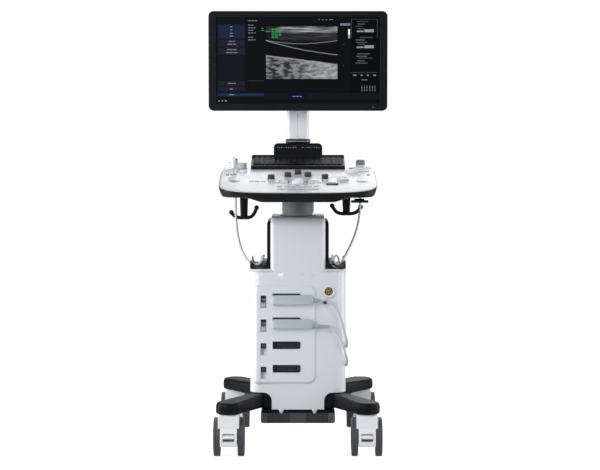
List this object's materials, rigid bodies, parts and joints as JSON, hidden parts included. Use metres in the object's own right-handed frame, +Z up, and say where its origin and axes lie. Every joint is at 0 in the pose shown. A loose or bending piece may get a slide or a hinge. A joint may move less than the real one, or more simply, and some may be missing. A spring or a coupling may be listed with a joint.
{
  "type": "ultrasound scanner",
  "caption": "Cart-based ultrasound scanner with a tilting monitor on a swivel arm, a height-adjustable control console, probe ports, holders, cables and braked casters.",
  "frame": {"origin": "on the floor under the centre of the whole object's outline", "axes": "+Z up, the operator stands at -Y and faces +Y, +X to the operator's right"},
  "size_m": [0.535, 0.6, 1.274],
  "materials": {
    "white_cover": "fine moulded texture, satin",
    "light_grey": "satin",
    "console_white": "satin",
    "black_plastic": "fine grain",
    "black_gloss": "polished",
    "leg_black": "satin powder coat",
    "column_metal": "dark anodised",
    "steel": "plain",
    "aluminium": "painted light grey",
    "inner_metal": "plain",
    "hood_white": "satin",
    "tyre_grey": "matte",
    "knob_grey": "soft touch",
    "key_black": "fine grain",
    "button_white": "silicone",
    "ball": "polished",
    "cup_grey": "frosted",
    "connector_grey": "satin",
    "lock_grey": "satin",
    "probe_white": "satin",
    "cable_grey": "matte",
    "screen": "anti-glare panel"
  },
  "bodies": {
    "base": {"base_hub": "leg_black", "legs_left": "leg_black", "legs_right": "leg_black", "front_cover": "white_cover", "rear_cover": "white_cover", "side_trims": "black_plastic", "top_cap": "light_grey", "column_outer": "steel", "port_panel": "white_cover", "probe_connectors": "connector_grey", "front_jacks": "light_grey", "power_supply": "inner_metal", "card_rack": "inner_metal", "fan_housing": "black_plastic", "power_inlet": "black_plastic", "cover_screws": "steel", "cable_left": "cable_grey", "cable_right": "cable_grey"},
    "fan": {"fan_rotor": "black_plastic"},
    "lock_1": {"port_lock_1": "lock_grey"},
    "lock_2": {"port_lock_2": "lock_grey"},
    "lock_3": {"port_lock_3": "black_plastic"},
    "lock_4": {"port_lock_4": "black_plastic"},
    "console": {"lift_column": "column_metal", "console_base": "black_plastic", "console_top": "console_white", "keyboard_tray": "black_plastic", "menu_display": "black_gloss", "holder_left": "cup_grey", "holder_right": "cup_grey", "cable_hooks": "black_plastic", "trackball_ring": "black_plastic", "probe_left": "probe_white", "probe_right": "probe_white", "arm_collar": "black_plastic"},
    "keys": {"keyboard_keys": "key_black"},
    "lever": {"release_lever": "black_plastic"},
    "knob_1": {"knob_1": "knob_grey"},
    "knob_2": {"knob_2": "knob_grey"},
    "knob_3": {"knob_3": "knob_grey"},
    "knob_4": {"knob_4": "knob_grey"},
    "knob_5": {"knob_5": "knob_grey"},
    "trackball": {"trackball": "ball"},
    "freeze": {"freeze_button": "knob_grey"},
    "buttons": {"console_buttons": "button_white"},
    "dial": {"gain_dial": "light_grey"},
    "arm": {"monitor_arm": "aluminium"},
    "monitor": {"monitor_bezel": "black_gloss", "screen_panel": "screen", "monitor_back": "black_plastic"},
    "hood_front_left": {"hood_front_left": "hood_white"},
    "hood_front_right": {"hood_front_right": "hood_white"},
    "hood_rear_left": {"hood_rear_left": "hood_white"},
    "hood_rear_right": {"hood_rear_right": "hood_white"},
    "wheels_front_left": {"wheels_front_left": "tyre_grey"},
    "wheels_front_right": {"wheels_front_right": "tyre_grey"},
    "wheels_rear_left": {"wheels_rear_left": "tyre_grey"},
    "wheels_rear_right": {"wheels_rear_right": "tyre_grey"},
    "pedal_left": {"pedal_left": "hood_white"},
    "pedal_right": {"pedal_right": "hood_white"}
  },
  "joints": [
    {"name": "console_lift", "type": "slide", "parent": "base", "child": "console", "axis": [0, 0, 1], "range_m": [0, 0.18], "deforming": ["cable_left", "cable_right"]},
    {"name": "monitor_swivel", "type": "hinge", "parent": "console", "child": "arm", "pos_m": [0, 0.195, 0.87], "axis": [0, 0, 1], "range_deg": [-90, 90]},
    {"name": "monitor_tilt", "type": "hinge", "parent": "arm", "child": "monitor", "pos_m": [0, 0.19, 1.12], "axis": [1, 0, 0], "range_deg": [-20, 8]},
    {"name": "caster_swivel_front_left", "type": "hinge", "parent": "base", "child": "hood_front_left", "pos_m": [-0.194, -0.26, 0.12], "axis": [0, 0, 1], "continuous": true},
    {"name": "wheel_spin_front_left", "type": "hinge", "parent": "hood_front_left", "child": "wheels_front_left", "pos_m": [-0.194, -0.24, 0.055], "axis": [1, 0, 0], "continuous": true},
    {"name": "caster_swivel_front_right", "type": "hinge", "parent": "base", "child": "hood_front_right", "pos_m": [0.194, -0.26, 0.12], "axis": [0, 0, 1], "continuous": true},
    {"name": "wheel_spin_front_right", "type": "hinge", "parent": "hood_front_right", "child": "wheels_front_right", "pos_m": [0.194, -0.24, 0.055], "axis": [1, 0, 0], "continuous": true},
    {"name": "caster_swivel_rear_left", "type": "hinge", "parent": "base", "child": "hood_rear_left", "pos_m": [-0.194, 0.225, 0.12], "axis": [0, 0, 1], "continuous": true},
    {"name": "wheel_spin_rear_left", "type": "hinge", "parent": "hood_rear_left", "child": "wheels_rear_left", "pos_m": [-0.194, 0.245, 0.055], "axis": [1, 0, 0], "continuous": true},
    {"name": "caster_swivel_rear_right", "type": "hinge", "parent": "base", "child": "hood_rear_right", "pos_m": [0.194, 0.225, 0.12], "axis": [0, 0, 1], "continuous": true},
    {"name": "wheel_spin_rear_right", "type": "hinge", "parent": "hood_rear_right", "child": "wheels_rear_right", "pos_m": [0.194, 0.245, 0.055], "axis": [1, 0, 0], "continuous": true},
    {"name": "brake_left", "type": "hinge", "parent": "hood_front_left", "child": "pedal_left", "pos_m": [-0.194, -0.276, 0.062], "axis": [1, 0, 0], "range_deg": [0, 15]},
    {"name": "brake_right", "type": "hinge", "parent": "hood_front_right", "child": "pedal_right", "pos_m": [0.194, -0.276, 0.062], "axis": [1, 0, 0], "range_deg": [0, 15]},
    {"name": "knob_1_turn", "type": "hinge", "parent": "console", "child": "knob_1", "pos_m": [-0.077, -0.101, 0.77838], "axis": [0, -0.1994, 0.9799], "continuous": true},
    {"name": "knob_2_turn", "type": "hinge", "parent": "console", "child": "knob_2", "pos_m": [-0.029, -0.071, 0.78448], "axis": [0, -0.1994, 0.9799], "continuous": true},
    {"name": "knob_3_turn", "type": "hinge", "parent": "console", "child": "knob_3", "pos_m": [0, -0.04, 0.79079], "axis": [0, -0.1994, 0.9799], "continuous": true},
    {"name": "knob_4_turn", "type": "hinge", "parent": "console", "child": "knob_4", "pos_m": [0.029, -0.071, 0.78448], "axis": [0, -0.1994, 0.9799], "continuous": true},
    {"name": "knob_5_turn", "type": "hinge", "parent": "console", "child": "knob_5", "pos_m": [0.078, -0.097, 0.77919], "axis": [0, -0.1994, 0.9799], "continuous": true},
    {"name": "dial_turn", "type": "hinge", "parent": "console", "child": "dial", "pos_m": [0.129, -0.115, 0.77553], "axis": [0, -0.1994, 0.9799], "continuous": true},
    {"name": "trackball_roll", "type": "hinge", "parent": "console", "child": "trackball", "pos_m": [0, -0.1486, 0.76154], "axis": [1, 0, 0], "continuous": true},
    {"name": "freeze_press", "type": "slide", "parent": "console", "child": "freeze", "axis": [0, -0.1994, 0.9799], "range_m": [-0.0015, 0], "stiffness_N_per_m": 1200, "springref_m": 0.002},
    {"name": "button_press", "type": "slide", "parent": "console", "child": "buttons", "axis": [0, -0.1994, 0.9799], "range_m": [-0.0012, 0], "stiffness_N_per_m": 1500, "springref_m": 0.002},
    {"name": "key_press", "type": "slide", "parent": "console", "child": "keys", "axis": [0, -0.2473, 0.9689], "range_m": [-0.0015, 0], "stiffness_N_per_m": 1500, "springref_m": 0.002},
    {"name": "release_squeeze", "type": "hinge", "parent": "console", "child": "lever", "pos_m": [0.174, -0.182, 0.72], "axis": [1, 0, 0], "range_deg": [-6, 0], "stiffness_Nm_per_rad": 1, "springref_deg": 11.46},
    {"name": "port_lock_1_slide", "type": "slide", "parent": "base", "child": "lock_1", "axis": [0, 0, 1], "range_m": [0, 0.02]},
    {"name": "port_lock_2_slide", "type": "slide", "parent": "base", "child": "lock_2", "axis": [0, 0, 1], "range_m": [0, 0.02]},
    {"name": "port_lock_3_slide", "type": "slide", "parent": "base", "child": "lock_3", "axis": [0, 0, 1], "range_m": [-0.02, 0]},
    {"name": "port_lock_4_slide", "type": "slide", "parent": "base", "child": "lock_4", "axis": [0, 0, 1], "range_m": [-0.02, 0]},
    {"name": "fan_spin", "type": "hinge", "parent": "base", "child": "fan", "pos_m": [0, 0.13, 0.25], "axis": [0, 1, 0], "continuous": true}
  ]
}
